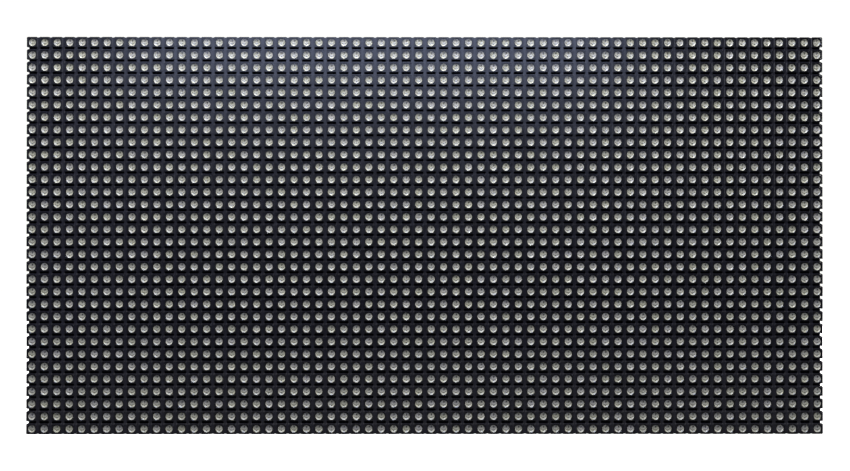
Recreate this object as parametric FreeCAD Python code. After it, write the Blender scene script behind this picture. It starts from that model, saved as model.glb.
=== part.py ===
"""Full-colour LED matrix panel: 64 by 32 pixels at a pitch of 3 mm, seen from its front in the photograph.

The panel stands upright on its lower edge. X runs to the right seen from the front, Y runs from the front
to the back, Z is up. The origin is at the middle of the panel's width and thickness, on its lower edge.
Depths are measured from the front face of the mask. All lengths are millimetres.
"""

import FreeCAD, Part
import math
import os
from FreeCAD import Vector

# Pixel field
pitch = 3.0                      # from one LED to the next, both ways
columns = 64
rows = 32
tiling_gap = 0.4                 # the panel is this much under its nominal size, so that panels tile
panel_depth = 14.5               # mask front to the back of the case

# LED: a moulded body on the board with a light lens plate on its face
led_size = 2.1
led_body_height = 1.4
led_lens_height = 0.1
led_lens_across = 1.75           # across the flats of the eight-sided lens
led_lens_sides = 8
led_recess = 0.35                # lens face below the front of the mask
led_clearance = 0.05             # mask to LED body, each side
block_columns = 16               # LEDs that one trio of driver chips lights
block_rows = 16

# Mask: a black grid with a groove between the rows and a notch between the pixels on every edge
groove_width = 0.4
groove_depth = 1.4
side_notch_depth = 0.42          # on the left and right edges
end_notch_depth = 0.12           # on the upper and lower edges
notch_floor = 0.3
notch_mouth = 0.5
peg_radius = 0.5                 # pegs of the mask stand in holes of the board, between four LEDs
peg_root = 0.2                   # peg's start behind the floor of the groove
peg_clearance = 0.06
peg_columns = (8, 24, 40, 56)    # the number of pixel columns to the left of each peg
peg_rows = (4, 16, 28)

# Board
board_thickness = 1.6
side_inset = 0.4                 # board and case inside the left and right edges of the mask
board_end_inset = 0.1            # board inside the upper and lower edges of the mask

# Case: a frame of channel-section bars with three windows
case_corner_radius = 1.2
case_wall = 1.6
case_skin = 2.0
long_bar_width = 9.0
end_bar_width = 9.0
cross_bar_width = 8.0
middle_window_width = 52.0
window_corner_radius = 1.5

# M3 inserts that the panel is hung by
insert_edge = 9.0                # from the edges of the nominal pixel field
insert_radius = 2.3
insert_bore_radius = 1.25
insert_length = 6.0
insert_flange_radius = 2.9
insert_flange_height = 0.6
insert_pocket_extra = 1.0
insert_boss_radius = 4.2
insert_clearance = 0.02

# M2 screws that hold the case to threaded spacers soldered on the board
screw_radius = 0.95
screw_hole_radius = 1.2
screw_head_radius = 1.9
screw_head_height = 1.3
screw_slot_width = 0.45
screw_slot_length = 2.2
screw_slot_depth = 0.7
screw_engagement = 2.4
screw_boss_radius = 3.0
head_pocket_radius = 2.2
head_pocket_depth = 3.0
spacer_radius = 1.9
spacer_height = 3.0
spacer_thread_radius = 1.0
spacer_clearance = 0.1
corner_screw_offset = 14.0       # from an insert, along the long bars
end_screw_offset = 20.0          # from the middle height, on the end bars
cross_screw_offset = 15.0        # from the middle height, on the cross bars

# Data headers, two rows of square pins in a shroud
header_pins = 8
header_pin_pitch = 2.54
pin_side = 0.64
pin_clearance = 0.03
pin_tip_below_rim = 1.2
pin_foot_reach = 1.4             # foot beyond the side of the shroud
pin_foot_thickness = 0.35
shroud_beside_pins = 3.23        # from a row of pins to the outside of the long wall
shroud_beyond_pins = 5.06        # from the last pin to the outside of the end wall
shroud_height = 9.1
shroud_wall = 1.3
shroud_floor = 2.4
shroud_standoff = 0.6
shroud_foot_side = 1.6
key_width = 4.5
key_depth = 6.0

# Power header, four pins with a tall lock wall
power_pins = 4
power_pin_pitch = 3.96
power_pin_side = 1.14
power_pin_height = 9.0
power_body_width = 8.5
power_body_height = 3.6
power_standoff = 0.6
power_rib_width = 0.9            # ribs under the ends of the base, which hold it off the board
power_lock_wall = 1.5
power_lock_height = 9.4
power_lock_lip = 0.6
power_lip_height = 1.2
power_foot_reach = 1.6
power_foot_thickness = 0.5

# Chips: body size along X, along Z and in height, then leads a side, their spacing, width and reach
chip_standoff = 0.1
lead_thickness = 0.2
lead_shoulder = 0.3              # from the body to the lead's bend
driver_body = (3.9, 8.65, 1.5)
driver_leads = (12, 0.635, 0.25, 1.05)
drivers_per_window = 4
driver_from_bar = 12.8           # driver's middle to the edge of a long bar
switch_body = (3.9, 4.9, 1.5)
switch_leads = (4, 1.27, 0.42, 1.05)
switch_from_bar = 5.5            # outer switch's middle to the edge of a cross bar
switch_spacing = 7.5
switch_offset = 7.0              # from the middle height
decoder_body = (3.9, 9.9, 1.5)
decoder_leads = (8, 1.27, 0.42, 1.05)
decoder_from_bar = 6.0
buffer_body = (5.3, 7.2, 1.6)
buffer_leads = (10, 0.65, 0.3, 1.2)
buffer_from_bar = 12.5
buffer_offset = 12.5

# Capacitors and resistors
can_radius = 3.15
can_height = 6.2
can_rim_radius = 0.4
can_base_side = 6.6
can_base_height = 1.4
can_base_chamfer = 1.3
can_offset = 8.0                 # the four middle cans, from the middle of the width
can_beyond_power = 8.0           # their middles past the end of the power header
outer_can_from_bar = 8.6
ceramic_size = (2.0, 1.25, 0.9)
ceramic_beyond_driver = 2.2      # middle past the end of each driver chip
resistor_size = (1.6, 0.8, 0.5)
resistor_beyond_driver = 4.4
array_size = (1.6, 3.2, 0.6)
array_from_bar = 5.0
array_offset = 11.0

# Arrows sunk in the upper bar, which show the way up
arrow_length = 5.0
arrow_head = 3.2
arrow_stem = 1.2
arrow_sink = 0.4
arrow_offset = 14.0

panel_width = columns * pitch - tiling_gap
panel_height = rows * pitch - tiling_gap
middle_z = panel_height / 2
front_y = -panel_depth / 2
mask_thickness = led_recess + led_lens_height + led_body_height
board_front = mask_thickness
board_back = board_front + board_thickness
slot_height = led_size + 2 * led_clearance
half_width = panel_width / 2
half_height = panel_height / 2
case_half_width = half_width - side_inset
cross_bar_x = (middle_window_width + cross_bar_width) / 2
window_half_height = half_height - long_bar_width
insert_x = columns * pitch / 2 - insert_edge
insert_z = rows * pitch / 2 - insert_edge
driver_offset = window_half_height - driver_from_bar
past = 1.0                       # how far a cutting shape runs past the face that it cuts


def block(x_low, x_high, depth_low, depth_high, z_low, z_high):
    """A box given by its limits, with depths counted from the mask's front face."""
    corner = Vector(x_low, front_y + depth_low, z_low)
    return Part.makeBox(x_high - x_low, depth_high - depth_low, z_high - z_low, corner)


def centred_block(x, z, x_size, z_size, depth_low, depth_high):
    return block(x - x_size / 2, x + x_size / 2, depth_low, depth_high, z - z_size / 2, z + z_size / 2)


def rounded_block(x_low, x_high, depth_low, depth_high, z_low, z_high, radius):
    """A box whose four front-to-back edges are rounded."""
    body = block(x_low, x_high, depth_low, depth_high, z_low, z_high)
    edges = [edge for edge in body.Edges if abs(edge.tangentAt(edge.FirstParameter).y) > 0.99]
    return body.makeFillet(radius, edges)


def rod(x, z, radius, depth_low, depth_high):
    """A cylinder that runs from front to back."""
    start = Vector(x, front_y + depth_low, z)
    return Part.makeCylinder(radius, depth_high - depth_low, start, Vector(0, 1, 0))


def prism(points, depth_low, depth_high):
    """A straight prism over an outline of (x, z) points."""
    corners = [Vector(x, front_y + depth_low, z) for x, z in points]
    outline = Part.makePolygon(corners + corners[:1])
    return Part.Face(outline).extrude(Vector(0, depth_high - depth_low, 0))


def moved(shape, x, z):
    copy = shape.copy()
    copy.translate(Vector(x, 0, z))
    return copy


def placed(shape, places):
    """Copies of a shape at places counted from the middle of the panel."""
    return Part.makeCompound([moved(shape, x, middle_z + z) for x, z in places])


def four_ways(x, z):
    return [(side * x, end * z) for side in (-1, 1) for end in (-1, 1)]


def pixel_x(column):
    return (column - (columns - 1) / 2) * pitch


def pixel_z(row):
    return (row - (rows - 1) / 2) * pitch


# Mask

def notched_side(length, count, depth):
    """One straight edge as points (distance along it, distance inwards), with a notch between its pixels."""
    points = [(-length / 2, 0)]
    for boundary in range(1, count):
        at = (boundary - count / 2) * pitch
        points += [(at - notch_mouth / 2, 0), (at - notch_floor / 2, depth),
                   (at + notch_floor / 2, depth), (at + notch_mouth / 2, 0)]
    return points


def mask_outline():
    end_edge = notched_side(panel_width, columns, end_notch_depth)
    side_edge = notched_side(panel_height, rows, side_notch_depth)
    right = [(half_width - inwards, middle_z + along) for along, inwards in side_edge]
    upper = [(-along, panel_height - inwards) for along, inwards in end_edge]
    left = [(-half_width + inwards, middle_z - along) for along, inwards in side_edge]
    return end_edge + right + upper + left


def row_slots():
    """The openings that the LEDs stand in, one slot for each row."""
    length = 2 * pixel_x(columns - 1) + slot_height
    return [centred_block(0, middle_z + pixel_z(row), length, slot_height, -past, mask_thickness + past)
            for row in range(rows)]


def row_grooves():
    length = panel_width + 2 * past
    return [centred_block(0, middle_z + pixel_z(row) + pitch / 2, length, groove_width, -past, groove_depth)
            for row in range(rows - 1)]


def peg_places():
    return [(pixel_x(column) - pitch / 2, pixel_z(row) - pitch / 2)
            for column in peg_columns for row in peg_rows]


def make_mask():
    plate = prism(mask_outline(), 0, mask_thickness)
    plate = plate.cut(Part.makeCompound(row_slots() + row_grooves()))
    pegs = [rod(x, middle_z + z, peg_radius, groove_depth + peg_root, board_back) for x, z in peg_places()]
    return plate.multiFuse(pegs)


# LEDs

def led_body():
    return centred_block(0, 0, led_size, led_size, board_front - led_body_height, board_front)


def led_lens():
    """Eight-sided plate with a flat side up, on the face of the body."""
    corner_radius = led_lens_across / 2 / math.cos(math.pi / led_lens_sides)
    angles = [(k + 0.5) * 2 * math.pi / led_lens_sides for k in range(led_lens_sides)]
    points = [(corner_radius * math.cos(angle), corner_radius * math.sin(angle)) for angle in angles]
    return prism(points, led_recess, led_recess + led_lens_height)


def led_block(shape, first_column, first_row):
    """The copies of one LED piece that one trio of driver chips lights."""
    last_column = min(first_column + block_columns, columns)
    last_row = min(first_row + block_rows, rows)
    return placed(shape, [(pixel_x(column), pixel_z(row)) for row in range(first_row, last_row)
                          for column in range(first_column, last_column)])


# Board

def make_board():
    board = block(-case_half_width, case_half_width, board_front, board_back,
                  board_end_inset, panel_height - board_end_inset)
    holes = [rod(x, middle_z + z, peg_radius + peg_clearance, board_front - past, board_back + past)
             for x, z in peg_places()]
    return board.cut(Part.makeCompound(holes))


# Case

def insert_places():
    return [(side * insert_x, end * insert_z) for side in (-1, 0, 1) for end in (-1, 1)]


def screw_places():
    """Screws on the middle lines of the bars: four each on the long, the end and the cross bars."""
    return (four_ways(insert_x - corner_screw_offset, half_height - long_bar_width / 2)
            + four_ways(case_half_width - end_bar_width / 2, end_screw_offset)
            + four_ways(cross_bar_x, cross_screw_offset))


def window_limits():
    """The three windows between the bars, as (x low, x high)."""
    inner = middle_window_width / 2
    outer = inner + cross_bar_width
    edge = case_half_width - end_bar_width
    return [(-edge, -outer), (-inner, inner), (outer, edge)]


def case_hollows():
    """The hollows of the channel-section bars, open to the board."""
    depths = (board_back - past, panel_depth - case_skin)
    reach = case_half_width - case_wall
    hollows = [block(-reach, reach, *depths, low, low + long_bar_width - 2 * case_wall)
               for low in (case_wall, panel_height - long_bar_width + case_wall)]
    upright_bars = [(side * (case_half_width - end_bar_width / 2), end_bar_width) for side in (-1, 1)]
    upright_bars += [(side * cross_bar_x, cross_bar_width) for side in (-1, 1)]
    hollows += [centred_block(x, middle_z, width - 2 * case_wall, panel_height - 2 * case_wall, *depths)
                for x, width in upright_bars]
    return Part.makeCompound(hollows)


def arrow(x):
    """An arrow that points up, on the middle line of the upper bar."""
    z = panel_height - long_bar_width / 2
    half = arrow_length / 2
    neck = half - arrow_head / 2
    right = [(arrow_stem / 2, -half), (arrow_stem / 2, neck), (arrow_head / 2, neck), (0, half)]
    left = [(-across, up) for across, up in reversed(right[:-1])]
    points = [(x + across, z + up) for across, up in right + left]
    return prism(points, panel_depth - arrow_sink, panel_depth + past)


def make_case():
    shell = rounded_block(-case_half_width, case_half_width, board_back, panel_depth,
                          0, panel_height, case_corner_radius)
    windows = [rounded_block(x_low, x_high, board_back - past, panel_depth + past,
                             long_bar_width, panel_height - long_bar_width, window_corner_radius)
               for x_low, x_high in window_limits()]
    bars = shell.cut(Part.makeCompound(windows)).cut(case_hollows())
    seat = board_back + spacer_height
    bosses = [boss.common(shell) for boss in
              placed(rod(0, 0, screw_boss_radius, seat, panel_depth), screw_places()).Solids
              + placed(rod(0, 0, insert_boss_radius, board_back, panel_depth), insert_places()).Solids]
    head_pocket = panel_depth - head_pocket_depth
    insert_pocket = panel_depth - insert_length - insert_pocket_extra
    flange_pocket = panel_depth - insert_flange_height
    back = panel_depth + past
    cuts = [arrow(side * arrow_offset) for side in (-1, 1)]
    cuts += [placed(rod(0, 0, radius, low, high), screw_places()) for radius, low, high in (
        (screw_hole_radius, board_back - past, back),
        (head_pocket_radius, head_pocket, back),
        (spacer_radius + spacer_clearance, board_back - past, seat))]
    cuts += [placed(rod(0, 0, radius + insert_clearance, low, back), insert_places()) for radius, low in (
        (insert_radius, insert_pocket),
        (insert_flange_radius, flange_pocket))]
    return bars.multiFuse(bosses).cut(Part.makeCompound(cuts)).removeSplitter()


# Fasteners

def make_inserts():
    """Brass inserts whose flange is flush with the back of the case."""
    barrel = rod(0, 0, insert_radius, panel_depth - insert_length, panel_depth)
    flange = rod(0, 0, insert_flange_radius, panel_depth - insert_flange_height, panel_depth)
    bore = rod(0, 0, insert_bore_radius, panel_depth - insert_length - past, panel_depth + past)
    return placed(barrel.fuse(flange).cut(bore).removeSplitter(), insert_places())


def make_screws():
    """Cross-slotted screws whose heads sit in the pockets of the case."""
    seat = panel_depth - head_pocket_depth
    head_back = seat + screw_head_height
    shank = rod(0, 0, screw_radius, board_back + spacer_height - screw_engagement, seat)
    head = rod(0, 0, screw_head_radius, seat, head_back)
    slot_depths = (head_back - screw_slot_depth, head_back + past)
    slots = [centred_block(0, 0, screw_slot_length, screw_slot_width, *slot_depths),
             centred_block(0, 0, screw_slot_width, screw_slot_length, *slot_depths)]
    return placed(head.fuse(shank).cut(Part.makeCompound(slots)).removeSplitter(), screw_places())


def make_spacers():
    spacer = rod(0, 0, spacer_radius, board_back, board_back + spacer_height)
    thread = rod(0, 0, spacer_thread_radius, board_back - past, board_back + spacer_height + past)
    return placed(spacer.cut(thread), screw_places())


# Headers

def header_x():
    """The data headers stand in the middle of the outer windows."""
    x_low, x_high = window_limits()[-1]
    return (x_low + x_high) / 2


def shroud_size():
    width = header_pin_pitch + 2 * shroud_beside_pins
    length = (header_pins - 1) * header_pin_pitch + 2 * shroud_beyond_pins
    return width, length


def header_pin_places():
    """The pins of a data header about its centre, as (x, z)."""
    return [(side * header_pin_pitch / 2, (k - (header_pins - 1) / 2) * header_pin_pitch)
            for side in (-1, 1) for k in range(header_pins)]


def pin_holes(places, side):
    hole = side + 2 * pin_clearance
    return Part.makeCompound([centred_block(x, z, hole, hole, board_back - past, panel_depth)
                              for x, z in places])


def make_shroud(side):
    """Moulded shroud of a data header, open to the back, with a key gap towards the middle of the panel."""
    width, length = shroud_size()
    low, top = board_back + shroud_standoff, board_back + shroud_height
    body = centred_block(0, 0, width, length, low, top)
    cavity = centred_block(0, 0, width - 2 * shroud_wall, length - 2 * shroud_wall,
                           low + shroud_floor, top + past)
    key = centred_block(-side * (width - shroud_wall) / 2, 0, shroud_wall + past, key_width,
                        top - key_depth, top + past)
    corners = four_ways((width - shroud_foot_side) / 2, (length - shroud_foot_side) / 2)
    feet = [centred_block(x, z, shroud_foot_side, shroud_foot_side, board_back, low) for x, z in corners]
    body = body.cut(cavity).cut(key).cut(pin_holes(header_pin_places(), pin_side)).multiFuse(feet)
    return placed(body.removeSplitter(), [(side * header_x(), 0)])


def bent_pin(x, z, side, tip, foot_end, foot_thickness):
    """A square pin that stands on the board and turns outwards into a flat foot."""
    post = centred_block(x, z, side, side, board_back, tip)
    foot = centred_block((x + foot_end) / 2, z, abs(foot_end - x), side,
                         board_back, board_back + foot_thickness)
    return post.fuse(foot).removeSplitter()


def make_header_pins(side):
    tip = board_back + shroud_height - pin_tip_below_rim
    reach = shroud_size()[0] / 2 + pin_foot_reach
    pins = [bent_pin(x, z, pin_side, tip, math.copysign(reach, x), pin_foot_thickness)
            for x, z in header_pin_places()]
    return placed(Part.makeCompound(pins), [(side * header_x(), 0)])


def power_pin_places():
    return [(0, (k - (power_pins - 1) / 2) * power_pin_pitch) for k in range(power_pins)]


def make_power_body():
    """Open power header: a low base that holds the pins and one tall wall with a lip that locks the plug."""
    length = power_pins * power_pin_pitch
    low, top = board_back + power_standoff, board_back + power_lock_height
    base = centred_block(0, 0, power_body_width, length, low, board_back + power_body_height)
    wall_x = (power_body_width - power_lock_wall) / 2
    wall = centred_block(wall_x, 0, power_lock_wall, length, low, top)
    lip = centred_block(wall_x - (power_lock_wall + power_lock_lip) / 2, 0, power_lock_lip, length / 2,
                        top - power_lip_height, top)
    foot_z = (length - power_rib_width) / 2
    ribs = [centred_block(0, side * foot_z, power_body_width, power_rib_width, board_back, low)
            for side in (-1, 1)]
    body = base.multiFuse([wall, lip] + ribs).cut(pin_holes(power_pin_places(), power_pin_side))
    return placed(body.removeSplitter(), [(0, 0)])


def make_power_pins():
    """The feet of the power pins point to the two sides in turn."""
    tip = board_back + power_pin_height
    reach = power_body_width / 2 + power_foot_reach
    pins = [bent_pin(x, z, power_pin_side, tip, reach if k % 2 else -reach, power_foot_thickness)
            for k, (x, z) in enumerate(power_pin_places())]
    return placed(Part.makeCompound(pins), [(0, 0)])


# Chips and small parts

def chip_body(size):
    width, length, height = size
    low = board_back + chip_standoff
    return centred_block(0, 0, width, length, low, low + height)


def bent_lead(body_size, leads, side, z):
    """A flat lead that leaves the body at mid height, turns down to the board and ends in a foot."""
    start = body_size[0] / 2
    bend, toe = start + lead_shoulder, start + leads[3]
    shoulder = chip_standoff + (body_size[2] - lead_thickness) / 2
    profile = [(start, shoulder), (bend, shoulder), (bend, 0), (toe, 0), (toe, lead_thickness),
               (bend + lead_thickness, lead_thickness), (bend + lead_thickness, shoulder + lead_thickness),
               (start, shoulder + lead_thickness)]
    corners = [Vector(side * x, front_y + board_back + height, z - leads[2] / 2) for x, height in profile]
    return Part.Face(Part.makePolygon(corners + corners[:1])).extrude(Vector(0, 0, leads[2]))


def chip_leads(body_size, leads):
    count, spacing = leads[0], leads[1]
    return Part.makeCompound([bent_lead(body_size, leads, side, (k - (count - 1) / 2) * spacing)
                              for side in (-1, 1) for k in range(count)])


def driver_places(end):
    """Four driver chips across each window, in the upper (1) or the lower (-1) half."""
    places = []
    for x_low, x_high in window_limits():
        step = (x_high - x_low) / drivers_per_window
        places += [(x_low + (k + 0.5) * step, end * driver_offset) for k in range(drivers_per_window)]
    return places


def beyond_drivers(distance):
    reach = driver_body[1] / 2 + distance
    return [(x, z + end * reach) for end in (-1, 1) for x, z in driver_places(end)]


def switch_places():
    outer = middle_window_width / 2 - switch_from_bar
    return four_ways(outer - switch_spacing, switch_offset) + four_ways(outer, switch_offset)


def beside_cross_bar(distance, offset):
    """Places in the outer windows, at a distance from the edge of the cross bar."""
    return four_ways(middle_window_width / 2 + cross_bar_width + distance, offset)


def decoder_places():
    x = middle_window_width / 2 + cross_bar_width + decoder_from_bar
    return [(-x, 0), (x, 0)]


def seated_block(size):
    width, length, height = size
    return centred_block(0, 0, width, length, board_back, board_back + height)


def can_places():
    beyond = power_pins * power_pin_pitch / 2 + can_beyond_power
    outer = case_half_width - end_bar_width - outer_can_from_bar
    return four_ways(can_offset, beyond) + [(-outer, 0), (outer, 0)]


def make_can_base():
    """Plastic foot of a capacitor, square with two chamfered corners."""
    half = can_base_side / 2
    short = half - can_base_chamfer
    points = [(-half, -half), (half, -half), (half, short), (short, half), (-short, half), (-half, short)]
    return prism(points, board_back, board_back + can_base_height)


def make_can():
    low = board_back + can_base_height
    can = rod(0, 0, can_radius, low, low + can_height)
    middle_y = front_y + low + can_height / 2
    back_rim = [edge for edge in can.Edges if edge.Closed and edge.CenterOfMass.y > middle_y]
    return can.makeFillet(can_rim_radius, back_rim)


def panel_pieces():
    buffer_spots = beside_cross_bar(buffer_from_bar, buffer_offset)
    switch_leads_shape = chip_leads(switch_body, switch_leads)
    driver_leads_shape = chip_leads(driver_body, driver_leads)
    return {
        "front_mask": make_mask(),
        "circuit_board": make_board(),
        "rear_case": make_case(),
        "mounting_inserts": make_inserts(),
        "case_screws": make_screws(),
        "board_spacers": make_spacers(),
        "data_in_shroud": make_shroud(1),
        "data_in_pins": make_header_pins(1),
        "data_out_shroud": make_shroud(-1),
        "data_out_pins": make_header_pins(-1),
        "power_header_body": make_power_body(),
        "power_header_pins": make_power_pins(),
        "column_driver_bodies": placed(chip_body(driver_body), driver_places(-1) + driver_places(1)),
        "column_driver_leads_lower": placed(driver_leads_shape, driver_places(-1)),
        "column_driver_leads_upper": placed(driver_leads_shape, driver_places(1)),
        "row_switch_bodies": placed(chip_body(switch_body), switch_places()),
        "row_switch_leads": placed(switch_leads_shape, switch_places()),
        "row_decoder_bodies": placed(chip_body(decoder_body), decoder_places()),
        "row_decoder_leads": placed(chip_leads(decoder_body, decoder_leads), decoder_places()),
        "signal_buffer_bodies": placed(chip_body(buffer_body), buffer_spots),
        "signal_buffer_leads": placed(chip_leads(buffer_body, buffer_leads), buffer_spots),
        "capacitor_cans": placed(make_can(), can_places()),
        "capacitor_bases": placed(make_can_base(), can_places()),
        "ceramic_capacitors": placed(seated_block(ceramic_size), beyond_drivers(ceramic_beyond_driver)),
        "current_set_resistors": placed(seated_block(resistor_size), beyond_drivers(resistor_beyond_driver)),
        "resistor_arrays": placed(seated_block(array_size), beside_cross_bar(array_from_bar, array_offset)),
    }


def led_pieces():
    """Bodies and lenses of the LEDs, one node for each block of the pixel field."""
    body, lens = led_body(), led_lens()
    pieces = {}
    for level, first_row in enumerate(range(0, rows, block_rows)):
        for number, first_column in enumerate(range(0, columns, block_columns)):
            name = f"{level + 1}_{number + 1}"
            pieces[f"led_bodies_{name}"] = led_block(body, first_column, first_row)
            pieces[f"led_lenses_{name}"] = led_block(lens, first_column, first_row)
    return pieces


def main():
    os.makedirs("parts", exist_ok=True)
    for name, shape in {**panel_pieces(), **led_pieces()}.items():
        shape.exportStep(f"parts/{name}.step")
        print(f"{name}: {len(shape.Solids)} solids, {shape.Volume / 1000:.3f} cm3")


main()
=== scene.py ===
# Full-colour LED matrix panel: black mask, 64 by 32 LEDs, board with its parts, and the case behind it.
# Lengths in the dictionaries are millimetres. Depth runs from the front face of the mask to the back,
# and height is counted from the back of the board.

import math
import bmesh
import bpy
import numpy as np
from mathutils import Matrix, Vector


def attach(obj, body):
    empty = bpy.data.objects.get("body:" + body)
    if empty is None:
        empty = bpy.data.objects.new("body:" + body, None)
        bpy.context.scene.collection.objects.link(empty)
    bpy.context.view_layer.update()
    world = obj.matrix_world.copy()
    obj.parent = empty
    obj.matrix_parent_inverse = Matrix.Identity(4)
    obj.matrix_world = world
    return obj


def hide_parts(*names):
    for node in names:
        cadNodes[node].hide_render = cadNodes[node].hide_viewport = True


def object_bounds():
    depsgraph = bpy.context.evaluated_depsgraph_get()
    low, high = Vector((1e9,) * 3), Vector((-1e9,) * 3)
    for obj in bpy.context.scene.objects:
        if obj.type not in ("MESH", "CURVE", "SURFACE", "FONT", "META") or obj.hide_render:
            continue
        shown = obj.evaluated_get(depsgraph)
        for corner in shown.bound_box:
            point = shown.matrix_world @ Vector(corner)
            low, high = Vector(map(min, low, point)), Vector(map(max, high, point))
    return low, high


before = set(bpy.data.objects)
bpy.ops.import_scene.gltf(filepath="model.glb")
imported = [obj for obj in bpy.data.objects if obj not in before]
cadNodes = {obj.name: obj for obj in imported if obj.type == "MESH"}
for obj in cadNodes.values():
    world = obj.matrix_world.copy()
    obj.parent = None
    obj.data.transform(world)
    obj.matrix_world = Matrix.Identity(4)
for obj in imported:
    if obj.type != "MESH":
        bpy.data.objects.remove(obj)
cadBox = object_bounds()
rng = np.random.default_rng(64)

millimetre = 0.001
pitch = 3.0
columns, rows = 64, 32
boardBack = 3.45
frontY = cadBox[0][1] / millimetre
middleZ = (cadBox[0][2] + cadBox[1][2]) / 2 / millimetre
ledBlocks = [(level, number) for level in (1, 2) for number in (1, 2, 3, 4)]


# Shared helpers

def hexColour(code):
    # sRGB hex to linear: a straight toe under 0.04045 and a power of 2.4 above it
    parts = np.array([int(code[at:at + 2], 16) for at in (1, 3, 5)]) / 255
    linear = np.where(parts <= 0.04045, parts / 12.92, ((parts + 0.055) / 1.055) ** 2.4)
    return (*(float(value) for value in linear), 1.0)


def nodeAdder(tree):
    # Gives the function that adds one node to the tree. A value for a socket is a node (its first live
    # output), another socket, a hex colour or a number.
    def add(kind, sockets=None, **settings):
        node = tree.nodes.new("ShaderNode" + kind)
        for key, value in settings.items():
            setattr(node, key, value)
        for socket, value in (sockets or {}).items():
            if isinstance(value, bpy.types.Node):
                value = next(output for output in value.outputs if output.enabled)
            if isinstance(value, bpy.types.NodeSocket):
                tree.links.new(value, node.inputs[socket])
            else:
                node.inputs[socket].default_value = hexColour(value) if isinstance(value, str) else value
        return node

    return add


def newMaterial(name):
    material = bpy.data.materials.new(name)
    material.use_nodes = True
    material.node_tree.nodes.clear()
    return material, nodeAdder(material.node_tree)


def closeMaterial(material, sockets):
    add = nodeAdder(material.node_tree)
    add("OutputMaterial", {"Surface": add("BsdfPrincipled", sockets)})
    return material


def circle(radius, depth, sides):
    # Points at equal angles round the depth axis
    angles = np.arange(sides) * 2 * math.pi / sides
    return np.stack([np.cos(angles) * radius, np.full(sides, depth), np.sin(angles) * radius], axis=1)


def rectangle(xSize, zSize, cut=0.0):
    # Eight points round a rectangle whose corners are cut by the given length
    x, z = xSize / 2, zSize / 2
    return np.array([(x, cut - z), (x, z - cut), (x - cut, z), (cut - x, z),
                     (-x, z - cut), (-x, cut - z), (cut - x, -z), (x - cut, -z)])


def band(outer, inner):
    # Quads between two closed rings of point numbers; the rings run anticlockwise seen from the front
    return np.stack([outer, np.roll(outer, -1), np.roll(inner, -1), inner], axis=1)


def tube(count, levels, materialIndex=0, closed=False):
    # Faces over rings of equal count that follow one another, closed into a loop or capped at both ends
    rings = [np.arange(count) + level * count for level in range(levels)]
    faces = [band(rings[(level + 1) % levels], rings[level]) for level in range(levels - (not closed))]
    faces += [] if closed else [rings[0][None, :], rings[-1][::-1][None, :]]
    return [(group, materialIndex) for group in faces]


def stack(sections, materialIndex=0, offset=(0, 0)):
    # Closed solid through outlines of equal count, each with its height
    points = np.concatenate([np.insert(outline, 1, boardBack + height, axis=1)
                             for outline, height in sections])
    return points + (offset[0], 0, offset[1]), tube(len(sections[0][0]), len(sections), materialIndex)


def turned(profile, sides, reference=boardBack):
    # Surface of revolution: a ring of points for each (radius, height) pair, closed by flat ends
    rings = [circle(radius, reference + height, sides) for radius, height in profile]
    return np.concatenate(rings), tube(sides, len(profile))


def joined(*cells):
    # Several templates as one: the point numbers of each are raised by the points before it
    points, groups, total = [], [], 0
    for cellPoints, cellGroups in cells:
        groups += [(faces + total, materialIndex) for faces, materialIndex in cellGroups]
        points.append(cellPoints)
        total += len(cellPoints)
    return np.concatenate(points), groups


def fan(corners, ring):
    # Triangles that fill a four-cornered face round a ring of points, a quarter of the ring to a corner
    count, quarter = len(ring), len(ring) // 4
    around = [[corners[i // quarter], ring[(i + 1) % count], ring[i]] for i in range(count)]
    between = [[corners[c], corners[(c + 1) % 4], ring[(c + 1) * quarter % count]] for c in range(4)]
    return np.array(around + between)


def gathered(parts):
    # Copies every template to its centres as whole arrays: point + centre, face numbers + copy * points
    places, local, copyOf, faceGroups, indexes = [], [], [], [], []
    total, made = 0, 0
    for (points, groups), centres in parts:
        centres = np.atleast_2d(np.asarray(centres, dtype=float))
        shifts = np.zeros((len(centres), 1, 3))
        shifts[:, 0, 0], shifts[:, 0, 2] = centres[:, 0], centres[:, 1]
        places.append((points[None, :, :] + shifts).reshape(-1, 3))
        local.append(np.tile(points[:, (0, 2)], (len(centres), 1)))
        copyOf.append(np.repeat(np.arange(len(centres)) + made, len(points)))
        for faces, materialIndex in groups:
            offsets = np.arange(len(centres))[:, None, None] * len(points) + total
            faceGroups.append((faces[None, :, :] + offsets).reshape(-1, faces.shape[1]))
            indexes.append(np.full(len(faceGroups[-1]), materialIndex))
        total += len(centres) * len(points)
        made += len(centres)
    return (np.concatenate(places), np.concatenate(local), np.concatenate(copyOf), faceGroups,
            np.concatenate(indexes))


def finishPiece(piece, materials, smoothAngle, replaced):
    bpy.context.scene.collection.objects.link(piece)
    for material in materials:
        piece.data.materials.append(material)
    piece.data.polygons.foreach_set("use_smooth", np.full(len(piece.data.polygons), smoothAngle is not None))
    if smoothAngle is not None:
        piece.data.set_sharp_from_angle(angle=math.radians(smoothAngle))
    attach(piece, "root")
    if replaced:
        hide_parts(*replaced)


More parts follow.
